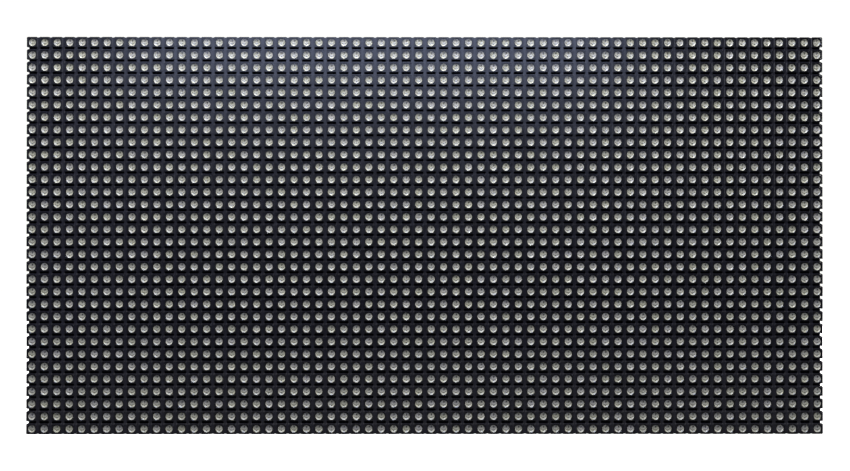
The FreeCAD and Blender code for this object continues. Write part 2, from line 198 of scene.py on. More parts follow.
def meshPiece(name, parts, materials, replaced=(), uvSize=1.0, smoothAngle=None, weld=None,
              turnOut=True):
    # Puts gathered templates into one mesh, with the local place of each point as its UV
    places, local, copyOf, faceGroups, indexes = gathered(parts)
    mesh = bpy.data.meshes.new(name)
    corners = np.concatenate([group.ravel() for group in faceGroups]).astype(np.int32)
    sizes = np.concatenate([np.full(len(group), group.shape[1]) for group in faceGroups])
    places[:, 1] += frontY
    mesh.vertices.add(len(places))
    mesh.vertices.foreach_set("co", (places * millimetre).astype(np.float32).ravel())
    mesh.loops.add(len(corners))
    mesh.loops.foreach_set("vertex_index", corners)
    mesh.polygons.add(len(sizes))
    mesh.polygons.foreach_set("loop_start", np.concatenate([[0], np.cumsum(sizes)[:-1]]).astype(np.int32))
    mesh.update(calc_edges=True)
    mesh.polygons.foreach_set("material_index", indexes.astype(np.int32))
    layer = mesh.uv_layers.new(name="UVMap")
    layer.data.foreach_set("uv", (local / uvSize + 0.5)[corners].astype(np.float32).ravel())
    for key in ("tint", "warmth"):
        chance = rng.random(copyOf[-1] + 1)[copyOf].astype(np.float32)
        mesh.attributes.new(key, "FLOAT", "POINT").data.foreach_set("value", chance)
    work = bmesh.new()
    work.from_mesh(mesh)
    if weld:
        bmesh.ops.remove_doubles(work, verts=work.verts, dist=weld * millimetre)
    if turnOut:
        bmesh.ops.recalc_face_normals(work, faces=work.faces)
    work.to_mesh(mesh)
    work.free()
    finishPiece(bpy.data.objects.new(name, mesh), materials, smoothAngle, replaced)


def softenedCopy(name, node, material, width):
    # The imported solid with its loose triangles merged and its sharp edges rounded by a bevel
    mesh = cadNodes[node].data.copy()
    mesh.name = name
    mesh.materials.clear()
    work = bmesh.new()
    work.from_mesh(mesh)
    bmesh.ops.remove_doubles(work, verts=work.verts, dist=0.0005 * millimetre)
    bmesh.ops.dissolve_limit(work, angle_limit=math.radians(0.5), verts=work.verts, edges=work.edges)
    work.to_mesh(mesh)
    work.free()
    piece = bpy.data.objects.new(name, mesh)
    bevel = piece.modifiers.new("roundedEdges", "BEVEL")
    bevel.width, bevel.segments, bevel.harden_normals = width * millimetre, 2, True
    bevel.limit_method, bevel.angle_limit = "ANGLE", math.radians(35)
    finishPiece(piece, [material], 30, (node,))


def gridOf(columnNumbers, rowNumbers):
    # Places of pixel numbers, counted from the left and lower edges of the pixel field
    x = (np.asarray(columnNumbers) - columns / 2) * pitch
    z = (np.asarray(rowNumbers) - rows / 2) * pitch + middleZ
    return np.stack([grid.ravel() for grid in np.meshgrid(x, z)], axis=1)


def pixelCentres(columnRange, rowRange):
    return gridOf(np.arange(*columnRange) + 0.5, np.arange(*rowRange) + 0.5)


def fourWays(x, z):
    return [(side * x, middleZ + end * z) for side in (-1, 1) for end in (-1, 1)]


# Mask: one black moulding, a raised collar with a square window round every LED

maskForm = {
    "thickness": 1.85,
    "collarHalf": 1.3,
    "upperRise": 0.06,       # the upper and lower sides of the inner collars sit this much higher
    "lowerRise": 0.15,
    "cornerCut": 0.2,
    "rimBevel": 0.05,
    "windowHalf": 1.08,
    "grooveDepth": 1.4,      # between the rows
    "jointDepth": 0.3,       # between the columns, and where the grooves cross
    "sideNotch": 0.42,
    "endNotch": 0.12,
    "pegRadius": 0.5,
    "pegEnd": 3.45,
    "pegColumns": (8, 24, 40, 56),
    "pegRows": (4, 16, 28),
}

sideNames = ("right", "high", "left", "low")
cornerSigns = ((1, -1), (1, 1), (-1, 1), (-1, -1))


def collarOutline(panelSides):
    # Eight corners of a collar, anticlockwise; a corner beside a notch of the panel's edge is cut further
    form, outline = maskForm, []
    half = form["collarHalf"]
    for index, (signX, signZ) in enumerate(cornerSigns):
        besideX = ("right" if signX > 0 else "left") in panelSides
        besideZ = ("high" if signZ > 0 else "low") in panelSides
        cutX = form["sideNotch"] if besideX and not besideZ else form["cornerCut"]
        cutZ = form["endNotch"] if besideZ and not besideX else form["cornerCut"]
        rise = 0 if besideZ else form["upperRise" if signZ > 0 else "lowerRise"]
        onLevel = (signX * (half - cutX), signZ * half + rise)
        onUpright = (signX * half, signZ * (half - cutZ))
        outline += [onLevel, onUpright] if index % 2 == 0 else [onUpright, onLevel]
    return outline


def maskCell(panelSides):
    # One cell, ring by ring: collar wall, rim bevel, top, window wall, joints, row grooves and back.
    # panelSides names the sides of the cell that lie on the panel's own edge.
    form = maskForm
    half, deep, joint, thick = pitch / 2, form["grooveDepth"], form["jointDepth"], form["thickness"]
    points, faces, grooveFloors = [], [], []

    def point(place, depth):
        points.append((place[0], depth, place[1]))
        return len(points) - 1

    def toCell(place, side):
        if side % 2 == 0:
            return math.copysign(half, place[0]), place[1]
        return place[0], math.copysign(half, place[1])

    def outerWall(low, high, top, splitLow=False, splitHigh=False):
        wall = [point(low, thick), point(high, thick)]
        wall += [point(high, deep)] if splitHigh else []
        wall += [point(high, top), point(low, top)]
        wall += [point(low, deep)] if splitLow else []
        faces.append(wall)

    outline = collarOutline(panelSides)
    onEdge = [name in panelSides for name in sideNames]
    shrink = 1 - form["rimBevel"] / form["collarHalf"]
    foot = [point(place, joint) for place in outline]
    shoulder = [point(place, form["rimBevel"]) for place in outline]
    rim = [point((x * shrink, z * shrink), 0) for x, z in outline]
    window = form["windowHalf"]
    mouth = [point((sx * window, sz * window), 0) for sx, sz in cornerSigns]
    rear = [point((sx * window, sz * window), thick) for sx, sz in cornerSigns]
    for outer, inner in ((foot, shoulder), (shoulder, rim), (mouth, rear)):
        faces += band(np.array(outer), np.array(inner)).tolist()
    for side in range(4):
        start, end, follow = 2 * side + 1, (2 * side + 2) % 8, (2 * side + 3) % 8
        before, after = (side - 1) % 4, (side + 1) % 4
        faces.append([rim[start], rim[end], mouth[after], mouth[side]])
        faces.append([rim[2 * side], rim[start], mouth[side]])
        cellStart = tuple(half * sign for sign in cornerSigns[side])
        cellEnd = tuple(half * sign for sign in cornerSigns[after])
        levelStart, levelEnd = toCell(outline[start], side), toCell(outline[end], side)
        if onEdge[side]:
            path = [outline[2 * side], outline[start], outline[end]]
            outerWall(path[0], path[1], joint, splitLow=side % 2 == 0 and not onEdge[before])
            outerWall(path[1], path[2], joint)
            if not onEdge[after]:
                path.append(outline[follow])
                outerWall(path[2], path[3], joint, splitHigh=side % 2 == 0)
        else:
            floor = deep if side % 2 else joint
            low, high = foot[start], foot[end]
            if side % 2:
                low, high = point(outline[start], deep), point(outline[end], deep)
                faces.append([low, high, foot[end], foot[start]])
                if not onEdge[before]:
                    faces.append([low, foot[start], point(levelStart, joint), point(levelStart, deep)])
                if not onEdge[after]:
                    faces.append([high, point(levelEnd, deep), point(levelEnd, joint), foot[end]])
            between = [low, point(levelStart, floor), point(levelEnd, floor), high]
            (grooveFloors if side % 2 else faces).append(between)
            path = [outline[start], levelStart] if onEdge[before] else [cellStart]
            path += [levelEnd, outline[end]] if onEdge[after] else [cellEnd]
            if onEdge[before]:
                outerWall(outline[start], levelStart, floor)
            if onEdge[after]:
                outerWall(levelEnd, outline[end], floor)
            else:
                nextLevel = toCell(outline[follow], after)
                faces.append([foot[end], point(levelEnd, joint), point(cellEnd, joint),
                              point(nextLevel, joint), foot[follow]])
        faces.append([rear[side], rear[after]] + [point(place, thick) for place in reversed(path)])
    groups = [(np.array([face for face in faces if len(face) == size]), 0)
              for size in sorted({len(face) for face in faces})]
    # The floors of the row grooves take the second material, which paints shade into them
    groups += [(np.array(grooveFloors), 1)] if grooveFloors else []
    return np.array(points, dtype=float), groups


def buildMask(faceMaterial, floorMaterial):
    # Cells of one kind share one template; the pegs end flush with the board's back
    form, parts = maskForm, []
    rowSpans = {"low": (0, 1), "": (1, rows - 1), "high": (rows - 1, rows)}
    columnSpans = {"left": (0, 1), "": (1, columns - 1), "right": (columns - 1, columns)}
    for level, rowSpan in rowSpans.items():
        for flank, columnSpan in columnSpans.items():
            parts.append((maskCell({level, flank}), pixelCentres(columnSpan, rowSpan)))
    radius, end = form["pegRadius"], form["pegEnd"]
    profile = [(radius, form["thickness"] - 0.1), (radius, end - 0.1), (radius * 0.8, end)]
    peg = turned(profile, 16, reference=0)
    parts.append((peg, gridOf(form["pegColumns"], form["pegRows"])))
    meshPiece("maskGrid", parts, [faceMaterial, floorMaterial], ["front_mask"], weld=0.002,
              turnOut=False)


# LEDs: a black body with a reflector cup, three dies on the lead frame, and resin in the cup

ledForm = {
    "half": 1.05,
    "faceDepth": 0.45,
    "backDepth": 1.85,
    "cupMouth": 0.87,
    "cupFloor": 0.7,
    "cupNarrowing": 0.95,    # the cup is a little narrower along x than along z
    "cupDepth": 0.3,
    "sides": 16,
    "dieHeight": 0.1,
    "dies": ((0.1, 0.5, 0.17), (0.04, 0.22, 0.08), (0.0, -0.36, 0.12)),   # x, z and half a side
}

resinForm = {
    "profile": ((0.875, 0.45), (0.875, 0.352), (0.70, 0.392), (0.42, 0.425)),   # radius and depth
    "centreDepth": 0.44,
}


def ledBodyCell():
    # Box with a round tapering cup; the dies are small boxes that stand on its floor
    form, sides = ledForm, ledForm["sides"]
    half, face, back = form["half"], form["faceDepth"], form["backDepth"]
    corners = np.array([(1, 1), (-1, 1), (-1, -1), (1, -1)])
    floorDepth = face + form["cupDepth"]
    narrow = (form["cupNarrowing"], 1, 1)
    points = [circle(form["cupMouth"], face, sides) * narrow,
              circle(form["cupFloor"], floorDepth, sides) * narrow,
              np.insert(corners * half, 1, face, axis=1), np.insert(corners * half, 1, back, axis=1)]
    mouth, floor = np.arange(sides), np.arange(sides) + sides
    front, rear = np.arange(4) + 2 * sides, np.arange(4) + 2 * sides + 4
    groups = [(fan(front, mouth), 0), (band(rear, front), 0), (rear[::-1][None, :], 0),
              (band(mouth, floor), 1), (floor[None, :], 2)]
    cells = [(np.concatenate(points), groups)]
    for x, z, halfDie in form["dies"]:
        square = rectangle(2 * halfDie, 2 * halfDie)[::2]
        top, base = floorDepth - form["dieHeight"] - boardBack, floorDepth - boardBack
        cells.append(stack([(square, top), (square, base)], 3, (x, z)))
    return joined(*cells)


def resinCell():
    # Dished disc of resin: depth grows from the rim to the centre, as a meniscus does
    sides, profile = ledForm["sides"], resinForm["profile"]
    rings = [circle(radius, depth, sides) for radius, depth in profile]
    numbers = [np.arange(sides) + level * sides for level in range(len(profile))]
    middle = np.stack([numbers[-1], np.roll(numbers[-1], -1), np.full(sides, len(profile) * sides)], axis=1)
    groups = [(band(numbers[level], numbers[level + 1]), 0) for level in range(len(profile) - 1)]
    return (np.concatenate(rings + [[(0, resinForm["centreDepth"], 0)]]),
            groups + [(middle, 0), (numbers[0][::-1][None, :], 0)])


def buildLeds(bodyMaterials, resin):
    bodyCell, lensCell = ledBodyCell(), resinCell()
    for level, number in ledBlocks:
        centres = pixelCentres(((number - 1) * 16, number * 16), ((level - 1) * 16, level * 16))
        meshPiece(f"ledBodies{level}{number}", [(bodyCell, centres)], bodyMaterials,
                  [f"led_bodies_{level}_{number}"], uvSize=2 * ledForm["half"])
        meshPiece(f"ledResin{level}{number}", [(lensCell, centres)], [resin],
                  [f"led_lenses_{level}_{number}"], uvSize=2 * ledForm["half"], smoothAngle=30)


# Chips: moulded bodies with drafted sides and a pin-one dimple, and gull-wing leads

chipForms = {                # body along x, along z and in height; leads a side, spacing, width and reach
    "columnDrivers": {"node": "column_driver", "body": (3.9, 8.65, 1.5), "leads": (12, 0.635, 0.25, 1.05)},
    "rowSwitches": {"node": "row_switch", "body": (3.9, 4.9, 1.5), "leads": (4, 1.27, 0.42, 1.05)},
    "rowDecoders": {"node": "row_decoder", "body": (3.9, 9.9, 1.5), "leads": (8, 1.27, 0.42, 1.05)},
    "signalBuffers": {"node": "signal_buffer", "body": (5.3, 7.2, 1.6), "leads": (10, 0.65, 0.3, 1.2)},
}

chipDetail = {
    "standoff": 0.1,
    "draft": 0.12,           # the faces are this much smaller than the parting line, each side
    "edgeCut": 0.08,
    "dimpleRadius": 0.38,
    "dimpleDepth": 0.07,
    "dimpleInset": 0.85,
    "leadThickness": 0.2,
    "leadShoulder": 0.3,
    "bendRadius": 0.16,
}

driverX = (6.5, 19.5, 40.55, 53.65, 66.75, 79.85)
driverOffset = 26.0
chipPlaces = {
    "columnDriversLower": [(side * x, middleZ - driverOffset) for side in (-1, 1) for x in driverX],
    "columnDriversUpper": [(side * x, middleZ + driverOffset) for side in (-1, 1) for x in driverX],
    "rowSwitches": fourWays(13.0, 7.0) + fourWays(20.5, 7.0),
    "rowDecoders": [(-40.0, middleZ), (40.0, middleZ)],
    "signalBuffers": fourWays(46.5, 12.5),
}
chipPlaces["columnDrivers"] = chipPlaces["columnDriversLower"] + chipPlaces["columnDriversUpper"]


def chipBodyCell(body):
    # Outlines from the underside past the parting line to the top, which has a ring let into it
    width, length, height = body
    detail = chipDetail
    low, draft, cut = detail["standoff"], detail["draft"], detail["edgeCut"]
    points, groups = stack([
        (rectangle(width - 2 * draft, length - 2 * draft, cut), low),
        (rectangle(width, length, cut), low + height * 0.45),
        (rectangle(width, length, cut), low + height * 0.55),
        (rectangle(width - 1.4 * draft, length - 1.4 * draft, cut), low + height - 0.05),
        (rectangle(width - 2 * draft, length - 2 * draft, cut), low + height)])
    sides, count = 12, len(points)
    top = boardBack + low + height
    centre = (detail["dimpleInset"] - width / 2, 0, length / 2 - detail["dimpleInset"])
    rims = [circle(detail["dimpleRadius"], top, sides) + centre,
            circle(detail["dimpleRadius"] * 0.8, top - detail["dimpleDepth"], sides) + centre]
    mouth, floor = np.arange(sides) + count, np.arange(sides) + count + sides
    ring = np.arange(8) + count - 8
    slivers = ring[[[1, 2, 3], [3, 4, 5], [5, 6, 7], [7, 0, 1]]]
    groups = groups[:-1] + [(fan(ring[[1, 3, 5, 7]], mouth)[:, ::-1], 0), (slivers[:, ::-1], 0),
                            (band(mouth, floor), 0), (floor[::-1][None, :], 0)]
    return np.concatenate([points] + rims), groups


def roundedPath(corners, radius, steps=3):
    # Straight runs with a curve in place of each inner corner: (1-s)^2 first + 2s(1-s) corner + s^2 last
    path = [corners[0]]
    for before, corner, after in zip(corners[:-2], corners[1:-1], corners[2:]):
        first = corner + (before - corner) / np.linalg.norm(before - corner) * radius
        last = corner + (after - corner) / np.linalg.norm(after - corner) * radius
        share = np.linspace(0, 1, steps + 1)[:, None]
        path += list((1 - share) ** 2 * first + 2 * share * (1 - share) * corner + share ** 2 * last)
    return np.array(path + [corners[-1]])


def leadCell(body, leads, side):
    # A flat strip carried along a bent path: its thickness goes across the path, its width along the chip
    detail = chipDetail
    start, toe, width = body[0] / 2 - 0.1, body[0] / 2 + leads[3], leads[2]
    thick, knee = detail["leadThickness"], body[0] / 2 + detail["leadShoulder"]
    shoulder = detail["standoff"] + body[2] / 2
    corners = np.array([(start, shoulder), (knee, shoulder), (knee + 0.12, thick / 2), (toe, thick / 2)])
    path = roundedPath(corners, detail["bendRadius"])
    along = np.gradient(path, axis=0)
    along /= np.linalg.norm(along, axis=1)[:, None]
    across = np.stack([-along[:, 1], along[:, 0]], axis=1) * thick / 2
    edges = []
    for sideways, level in ((-1, -1), (1, -1), (1, 1), (-1, 1)):
        place = path + across * level
        edges.append(np.stack([place[:, 0] * side, boardBack + place[:, 1],
                               np.full(len(path), sideways * width / 2)], axis=1))
    return np.stack(edges, axis=1).reshape(-1, 3), tube(4, len(path))


def leadCentres(centres, leads):
    offsets = (np.arange(leads[0]) - (leads[0] - 1) / 2) * leads[1]
    centres = np.asarray(centres, dtype=float)
    return np.stack([np.repeat(centres[:, 0], leads[0]),
                     (centres[:, 1][:, None] + offsets[None, :]).ravel()], axis=1)


def buildChips(bodyMaterial, leadMaterial):
    for kind, form in chipForms.items():
        meshPiece(kind, [(chipBodyCell(form["body"]), chipPlaces[kind])], [bodyMaterial],
                  [form["node"] + "_bodies"])
    for kind, form in chipForms.items():
        for end in ("Lower", "Upper") if kind == "columnDrivers" else ("",):
            centres = leadCentres(chipPlaces[kind + end], form["leads"])
            parts = [(leadCell(form["body"], form["leads"], side), centres) for side in (-1, 1)]
            node = form["node"] + "_leads" + (f"_{end.lower()}" if end else "")
            meshPiece(f"{kind}{end}Leads", parts, [leadMaterial], [node], smoothAngle=40)


# Small parts: ceramic capacitors, resistors and resistor arrays with tinned ends

smallForms = {
    "ceramic": (2.0, 1.25, 0.9),
    "ceramicEnd": 0.42,
    "ceramicFromDriver": 6.525,
    "resistor": (1.6, 0.8, 0.5),
    "resistorEnd": 0.3,
    "resistorFromDriver": 8.725,
    "array": (1.6, 3.2, 0.6),
    "arrayPitch": 0.8,
    "arrayEnd": 0.32,
    "glazeHeight": 0.08,
}
arrayPlaces = fourWays(39.0, 11.0)


def beyondDrivers(distance):
    return [(side * x, middleZ + end * (driverOffset + distance))
            for side in (-1, 1) for x in driverX for end in (-1, 1)]


def softBlock(xLow, xHigh, zSize, low, high, soft, materialIndex, z=0.0):
    # Block whose lower and upper edges step in by the soft length
    wide = xHigh - xLow
    sections = [(rectangle(wide - soft, zSize - soft, soft / 2), low),
                (rectangle(wide, zSize, soft), low + soft / 2), (rectangle(wide, zSize, soft), high - soft),
                (rectangle(wide - soft, zSize - soft, soft), high - soft / 4),
                (rectangle(wide - 2 * soft, zSize - 2 * soft, soft / 2), high)]
    return stack(sections, materialIndex, ((xLow + xHigh) / 2, z))


def twoEnds(half, inner, length, height, soft, materialIndex, z=0.0):
    return [softBlock(low, high, length, 0, height, soft, materialIndex, z)
            for low, high in ((-half, -inner), (inner, half))]


def buildSmallParts(ceramic, glaze, alumina, tin):
    form = smallForms
    coat = form["glazeHeight"]
    width, length, height = form["ceramic"]
    inner = width / 2 - form["ceramicEnd"]
    cell = joined(softBlock(-inner - 0.05, inner + 0.05, length - 0.06, 0.02, height - 0.03, 0.06, 0),
                  *twoEnds(width / 2, inner, length, height, 0.12, 1))
    meshPiece("ceramicCapacitors", [(cell, beyondDrivers(form["ceramicFromDriver"]))],
              [ceramic, tin], ["ceramic_capacitors"])
    width, length, height = form["resistor"]
    inner = width / 2 - form["resistorEnd"]
    cell = joined(softBlock(-inner - 0.05, inner + 0.05, length, 0.02, height - coat, 0.03, 1),
                  softBlock(-inner, inner, length - 0.06, height - coat - 0.02, height, 0.05, 0),
                  *twoEnds(width / 2, inner, length, height - 0.03, 0.06, 2))
    meshPiece("currentSetResistors", [(cell, beyondDrivers(form["resistorFromDriver"]))],
              [glaze, alumina, tin], ["current_set_resistors"])
    width, length, height = form["array"]
    inner = width / 2 - form["arrayEnd"]
    cells = [softBlock(-inner - 0.02, inner + 0.02, length, 0.02, height - coat, 0.03, 1),
             softBlock(0.02 - inner, inner - 0.02, length - 0.1, height - coat - 0.02, height, 0.05, 0)]
    for k in range(4):
        cells += twoEnds(width / 2, inner, 0.5, height - 0.04, 0.08, 2, (k - 1.5) * form["arrayPitch"])
    meshPiece("resistorArrays", [(joined(*cells), arrayPlaces)],
              [glaze, alumina, tin], ["resistor_arrays"])


# Electrolytic capacitors: drawn cans with a rolled groove and a rounded shoulder

canForm = {
    "radius": 3.15,
    "low": 1.4,
    "height": 6.2,
    "grooveAt": 1.1,
    "grooveDepth": 0.28,
    "shoulder": 0.4,
    "sides": 48,
}
canPlaces = fourWays(8.0, 15.92) + [(-77.8, middleZ), (77.8, middleZ)]


def buildCans(material):
    # Profile from the base up: rim, rolled groove, straight wall, rounded shoulder and a sunk top
    form = canForm
    radius, low, top, bend = form["radius"], form["low"], form["low"] + form["height"], form["shoulder"]
    share = np.linspace(0, 1, 7)
    groove = np.stack([radius - form["grooveDepth"] * np.sin(share * math.pi) ** 2,
                       low + form["grooveAt"] - 0.35 + 0.7 * share], axis=1)
    turn = np.linspace(0, math.pi / 2, 6)
    shoulder = np.stack([radius - bend + bend * np.cos(turn), top - bend + bend * np.sin(turn)], axis=1)
    profile = np.concatenate([[(radius - 0.15, low), (radius, low + 0.15)], groove, shoulder,
                              [(radius - 0.75, top), (radius - 0.9, top - 0.06)]])
    meshPiece("capacitorCans", [(turned(profile, form["sides"]), canPlaces)], [material],
              ["capacitor_cans"], uvSize=2 * radius, smoothAngle=30)


# Mounting inserts: turned brass with a real thread in the bore

insertForm = {
    "places": [(x, z) for x in (-87.0, 0.0, 87.0) for z in (8.8, 86.8)],
    "back": 14.5,
    "length": 6.0,
    "barrelRadius": 2.3,
    "flangeRadius": 2.9,
    "flangeHeight": 0.6,
    "flangeCut": 0.12,
    "boreRadius": 1.25,
    "threadDepth": 0.22,
    "threadPitch": 0.5,
    "chamfer": 0.3,
    "sides": 32,
}


def insertCell():
    # The bore's radius follows a triangle wave of (depth / pitch - angle / turn), which is a thread
    form, sides = insertForm, insertForm["sides"]
    back, front, bore = form["back"], form["back"] - form["length"], form["boreRadius"]
    barrel, flange, cut = form["barrelRadius"], form["flangeRadius"], form["flangeCut"]
    shelf = back - form["flangeHeight"]
    outer = [(barrel - 0.2, front), (barrel, front + 0.2), (barrel, shelf), (flange, shelf),
             (flange, back - cut), (flange - cut, back),
             (bore + form["threadDepth"] + form["chamfer"], back)]
    levels = np.arange(back - form["chamfer"], front - 0.01, -form["threadPitch"] / 6)
    share = np.arange(sides) / sides
    phase = (levels[:, None] / form["threadPitch"] - share[None, :]) % 1.0
    radius = bore + form["threadDepth"] * np.abs(2 * phase - 1)
    depth = np.repeat(levels[:, None], sides, axis=1)
    angle = share * 2 * math.pi
    thread = np.stack([radius * np.cos(angle), depth, radius * np.sin(angle)], axis=2)
    rings = [circle(ringRadius, ringDepth, sides) for ringRadius, ringDepth in outer]
    return (np.concatenate(rings + [thread.reshape(-1, 3)]),
            tube(sides, len(outer) + len(levels), closed=True))


def buildInserts(material):
    meshPiece("mountingInserts", [(insertCell(), insertForm["places"])], [material],
              ["mounting_inserts"], smoothAngle=35)


# Board details: solder joints and printed outlines

headerForm = {
    "dataX": 60.2,
    "dataFootX": 5.3,
    "dataPitch": 2.54,
    "powerFootX": 5.2,
    "powerPitch": 3.96,
}
inkForm = {
    "line": 0.16,
    "height": 0.02,
    "dotRadius": 0.3,
}


def moundCell(xSize, zSize, height, x=0.0):
    # Solder on its pad: a thin tinned pad, then a fillet that draws in as it climbs the joint
    steps = ((1.0, 0.0), (1.0, 0.03), (0.86, 0.06), (0.68, height * 0.5), (0.56, height))
    return stack([(rectangle(xSize * share, zSize * share, min(xSize, zSize) * share * 0.2), level)
                  for share, level in steps], 0, (x, 0))


def buildSolder(material):
    form, parts = headerForm, []
    arrayEnds = [(x, z + (k - 1.5) * smallForms["arrayPitch"]) for x, z in arrayPlaces for k in range(4)]
    for side in (-1, 1):
        for kind, chip in chipForms.items():
            body, leads = chip["body"], chip["leads"]
            middle = side * (body[0] / 2 + leads[3] - 0.2)
            joints = leadCentres(chipPlaces[kind], leads)
            parts.append((moundCell(0.95, leads[2] + 0.14, 0.17, middle), joints))
        dataFeet = [(end * form["dataX"], middleZ + (k - 3.5) * form["dataPitch"])
                    for end in (-1, 1) for k in range(8)]
        powerFeet = [(0, middleZ + (k - 1.5) * form["powerPitch"])
                     for k in range(4) if (k % 2 > 0) == (side > 0)]
        parts += [(moundCell(0.75, 1.4, 0.4, side * 0.98), beyondDrivers(smallForms["ceramicFromDriver"])),
                  (moundCell(0.55, 0.9, 0.26, side * 0.78), beyondDrivers(smallForms["resistorFromDriver"])),
                  (moundCell(0.5, 0.46, 0.26, side * 0.8), arrayEnds),
                  (moundCell(1.5, 0.95, 0.32, side * form["dataFootX"]), dataFeet),
                  (moundCell(1.7, 1.6, 0.42, side * form["powerFootX"]), powerFeet),
                  (moundCell(1.1, 1.0, 0.3), [(x, z + side * 3.6) for x, z in canPlaces])]
    meshPiece("solderJoints", parts, [material], smoothAngle=50)


def inkFrame(xSize, zSize):
    # A printed line of even width round a rectangle, as a thin closed ring
    line, high = inkForm["line"], boardBack + inkForm["height"]
    outer, inner = rectangle(xSize, zSize)[::2], rectangle(xSize - 2 * line, zSize - 2 * line)[::2]
    rings = [np.insert(outline, 1, depth, axis=1)
             for outline, depth in ((outer, boardBack), (outer, high), (inner, high), (inner, boardBack))]
    return np.concatenate(rings), tube(4, 4, closed=True)


def buildInk(material):
    parts = []
    dot = turned([(inkForm["dotRadius"], 0), (inkForm["dotRadius"], inkForm["height"])], 12)
    for kind, chip in chipForms.items():
        body, leads, places = chip["body"], chip["leads"], chipPlaces[kind]
        parts += [(inkFrame(body[0] + 2 * leads[3] + 0.9, body[1] + 0.7), places),
                  (dot, [(x - body[0] / 2 - leads[3] - 0.85, z + body[1] / 2 - 0.1) for x, z in places])]
    parts += [(inkFrame(3.3, 1.9), beyondDrivers(smallForms["ceramicFromDriver"])),
              (inkFrame(2.6, 1.35), beyondDrivers(smallForms["resistorFromDriver"])),
              (inkFrame(2.7, 3.9), arrayPlaces), (inkFrame(7.4, 7.4), canPlaces),
              (inkFrame(12.9, 29.4), [(end * headerForm["dataX"], middleZ) for end in (-1, 1)]),
              (inkFrame(13.0, 17.4), [(0, middleZ)])]
    meshPiece("printedOutlines", parts, [material])


# Materials of the front

frontFinish = {
    "maskColours": ("#07070d", "#0f0f1a"),
    "maskRoughness": (0.12, 0.18),
    "bodyColours": ("#030304", "#58585f"),
    "markFrom": 1.84,                      # u + v past which the corner mark shows
    "reflector": ("#e0e0d5", "#f0efe8"),
    "gapColour": "#2a2a28",
    "gapAt": 0.36,                         # v of the lead frame's gap on the middle line
    "gapBend": 1.6,
    "gapStrength": 0.88,
    "dieColours": ("#11130f", "#1e1b15"),
    "resinColours": ("#69686f", "#6c6c5e"),
}


def mouldedBlackPolycarbonate():
    # Polycarbonate moulded in a fine spark-eroded tool: near black, with a soft sheen where light glances.
    # The grain is 0.14 mm across.
    material, add = newMaterial("mouldedBlackPolycarbonate")
    dark, light = frontFinish["maskColours"]
    low, high = frontFinish["maskRoughness"]
    where = add("TexCoord").outputs["Object"]
    grain = add("TexNoise", {"Vector": where, "Scale": 7000.0, "Detail": 2.0})
    cloud = add("TexNoise", {"Vector": where, "Scale": 300.0, "Detail": 3.0})
    colour = add("Mix", {"Factor": cloud, 6: dark, 7: light}, data_type="RGBA")
    rough = add("MapRange", {0: cloud, 1: 0.3, 2: 0.7, 3: low, 4: high})
    bump = add("Bump", {"Height": grain, "Strength": 0.1, "Distance": 0.00002})
    return closeMaterial(material, {"Base Color": colour, "Roughness": rough, "IOR": 1.58, "Normal": bump})


def paintedShadeGrooveFloor():
    # Painted shade: the mask plastic made darker and rough, with next to no specular, on the floors of the
    # deep grooves between rows, so that these recesses give back next to no light
    material = newMaterial("paintedShadeGrooveFloor")[0]
    return closeMaterial(material, {"Base Color": "#020203", "Roughness": 0.8, "Specular IOR Level": 0.05})


def blackMouldingCompound():
    # LED body of black moulding compound, smooth and dark, with a pale mark in one corner of its face
    material, add = newMaterial("blackMouldingCompound")
    dark, pale = frontFinish["bodyColours"]
    axes = add("SeparateXYZ", {0: add("UVMap", uv_map="UVMap")}).outputs
    sideways = add("Math", {0: axes[0], 1: axes[1]}, operation="ADD")
    mark = add("Math", {0: sideways, 1: frontFinish["markFrom"]}, operation="GREATER_THAN")
    colour = add("Mix", {"Factor": mark, 6: dark, 7: pale}, data_type="RGBA")
    return closeMaterial(material, {"Base Color": colour, "Roughness": 0.18, "Specular IOR Level": 0.52})


def tintedBy(add, colours, attribute="tint"):
    # Colour between the two by a random number that every LED has of its own
    tint = add("Attribute", attribute_name=attribute).outputs["Fac"]
    return add("Mix", {"Factor": tint, 6: colours[0], 7: colours[1]}, data_type="RGBA")


def whiteReflectorResin():
    # Cup wall of white filled resin, seen through clear resin, a little duller on some LEDs
    material, add = newMaterial("whiteReflectorResin")
    return closeMaterial(material, {"Base Color": tintedBy(add, frontFinish["reflector"]), "Roughness": 0.4})


def silverLeadFrame():
    # Stamped lead frame plated with silver: a bright bar across, with a darker curved gap under it.
    # The gap is darkest on the line v = gapAt + gapBend * (u - 0.5)^2 and falls off at its sides.
    material, add = newMaterial("silverLeadFrame")
    form = frontFinish
    axes = add("SeparateXYZ", {0: add("UVMap", uv_map="UVMap")}).outputs
    across = add("Math", {0: axes[0], 1: 0.5}, operation="SUBTRACT")
    bend = add("Math", {0: across, 1: across}, operation="MULTIPLY")
    line = add("Math", {0: bend, 1: form["gapBend"], 2: form["gapAt"]}, operation="MULTIPLY_ADD")
    off = add("Math", {0: axes[1], 1: line}, operation="SUBTRACT")
    near = add("Math", {0: off}, operation="ABSOLUTE")
    gap = add("MapRange", {0: near, 1: 0.02, 2: 0.065, 3: form["gapStrength"], 4: 0.0})
    silver = tintedBy(add, form["reflector"])
    colour = add("Mix", {"Factor": gap, 6: silver, 7: form["gapColour"]}, data_type="RGBA")
    return closeMaterial(material, {"Base Color": colour, "Roughness": 0.5})


def semiconductorDie():
    # Sawn die under resin: dark, with a faint green or brown cast that differs from LED to LED
    material, add = newMaterial("semiconductorDie")
    colour = tintedBy(add, frontFinish["dieColours"])
    return closeMaterial(material, {"Base Color": colour, "Roughness": 0.3})


def diffusingEpoxy():
    # Clear epoxy with a little diffuser: a thin milky veil and a glossy dished surface.
    # The index is set high because the alpha thins the gloss as well as the veil.
    material, add = newMaterial("diffusingEpoxy")
    colour = tintedBy(add, frontFinish["resinColours"], "warmth")
    return closeMaterial(material, {"Base Color": colour, "Roughness": 0.12, "IOR": 1.8,
                                    "Specular IOR Level": 1.0, "Alpha": 0.3})


# Materials of the back

